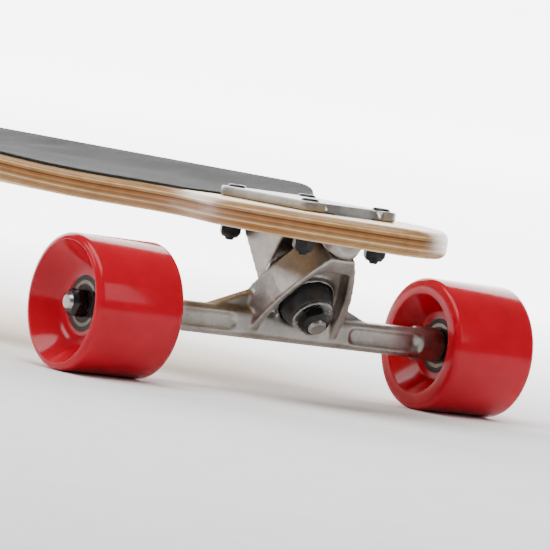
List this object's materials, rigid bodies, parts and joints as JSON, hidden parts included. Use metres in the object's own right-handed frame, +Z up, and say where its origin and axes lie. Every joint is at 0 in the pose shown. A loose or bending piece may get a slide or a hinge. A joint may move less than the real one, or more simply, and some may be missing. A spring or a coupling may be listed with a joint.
{
  "type": "longboard skateboard",
  "caption": "Drop-through longboard skateboard: laminated deck with grip tape, reverse-kingpin trucks and red urethane wheels on ball bearings.",
  "frame": {"origin": "on the ground under the middle of the board", "axes": "+X runs along the board to the nose, +Y to the left side, +Z up"},
  "size_m": [0.98, 0.254, 0.098],
  "materials": {
    "maple_ply": "clear-lacquered laminated wood with bare, rounded edges",
    "grip": "coarse black grit on cloth",
    "cast_aluminium": "raw cast aluminium, tumbled",
    "black_urethane": "smooth black urethane",
    "bright_steel": "zinc-plated steel",
    "black_steel": "black oxide steel",
    "red_urethane": "glossy poured urethane",
    "black_plastic": "black moulded plastic"
  },
  "bodies": {
    "board": {"deck": "maple_ply", "grip_tape": "grip", "front_baseplate": "cast_aluminium", "front_pivot_cup": "black_urethane", "front_kingpin": "bright_steel", "front_kingpin_nut": "black_steel", "front_boardside_bushing": "black_urethane", "front_roadside_bushing": "black_urethane", "front_boardside_washer": "bright_steel", "front_roadside_washer": "bright_steel", "front_mounting_bolts": "black_steel", "front_mounting_nuts": "black_steel", "rear_baseplate": "cast_aluminium", "rear_pivot_cup": "black_urethane", "rear_kingpin": "bright_steel", "rear_kingpin_nut": "black_steel", "rear_boardside_bushing": "black_urethane", "rear_roadside_bushing": "black_urethane", "rear_boardside_washer": "bright_steel", "rear_roadside_washer": "bright_steel", "rear_mounting_bolts": "black_steel", "rear_mounting_nuts": "black_steel"},
    "front_hanger_set": {"front_hanger": "cast_aluminium", "front_axle": "bright_steel", "front_axle_nuts": "black_steel", "front_speed_washers": "bright_steel", "front_bearing_spacers": "bright_steel", "front_bearing_inner_rings": "bright_steel"},
    "front_left_wheel_set": {"front_left_wheel": "red_urethane", "front_left_wheel_core": "black_plastic", "front_left_bearing_outer_rings": "bright_steel", "front_left_bearing_shields": "black_plastic", "front_left_bearing_balls": "bright_steel"},
    "front_right_wheel_set": {"front_right_wheel": "red_urethane", "front_right_wheel_core": "black_plastic", "front_right_bearing_outer_rings": "bright_steel", "front_right_bearing_shields": "black_plastic", "front_right_bearing_balls": "bright_steel"},
    "rear_hanger_set": {"rear_hanger": "cast_aluminium", "rear_axle": "bright_steel", "rear_axle_nuts": "black_steel", "rear_speed_washers": "bright_steel", "rear_bearing_spacers": "bright_steel", "rear_bearing_inner_rings": "bright_steel"},
    "rear_left_wheel_set": {"rear_left_wheel": "red_urethane", "rear_left_wheel_core": "black_plastic", "rear_left_bearing_outer_rings": "bright_steel", "rear_left_bearing_shields": "black_plastic", "rear_left_bearing_balls": "bright_steel"},
    "rear_right_wheel_set": {"rear_right_wheel": "red_urethane", "rear_right_wheel_core": "black_plastic", "rear_right_bearing_outer_rings": "bright_steel", "rear_right_bearing_shields": "black_plastic", "rear_right_bearing_balls": "bright_steel"}
  },
  "joints": [
    {"name": "front_steer", "type": "hinge", "parent": "board", "child": "front_hanger_set", "pos_m": [0.4014, 0, 0.0494], "axis": [0.6428, 0, 0.766], "range_deg": [-16, 16], "stiffness_Nm_per_rad": 25, "deforming": ["front_boardside_bushing", "front_roadside_bushing"]},
    {"name": "front_left_spin", "type": "hinge", "parent": "front_hanger_set", "child": "front_left_wheel_set", "pos_m": [0.391, 0.103, 0.0325], "axis": [0, 1, 0], "continuous": true},
    {"name": "front_right_spin", "type": "hinge", "parent": "front_hanger_set", "child": "front_right_wheel_set", "pos_m": [0.391, -0.103, 0.0325], "axis": [0, 1, 0], "continuous": true},
    {"name": "rear_steer", "type": "hinge", "parent": "board", "child": "rear_hanger_set", "pos_m": [-0.4014, 0, 0.0494], "axis": [-0.6428, 0, 0.766], "range_deg": [-16, 16], "stiffness_Nm_per_rad": 25, "deforming": ["rear_boardside_bushing", "rear_roadside_bushing"]},
    {"name": "rear_left_spin", "type": "hinge", "parent": "rear_hanger_set", "child": "rear_left_wheel_set", "pos_m": [-0.391, 0.103, 0.0325], "axis": [0, 1, 0], "continuous": true},
    {"name": "rear_right_spin", "type": "hinge", "parent": "rear_hanger_set", "child": "rear_right_wheel_set", "pos_m": [-0.391, -0.103, 0.0325], "axis": [0, 1, 0], "continuous": true}
  ]
}
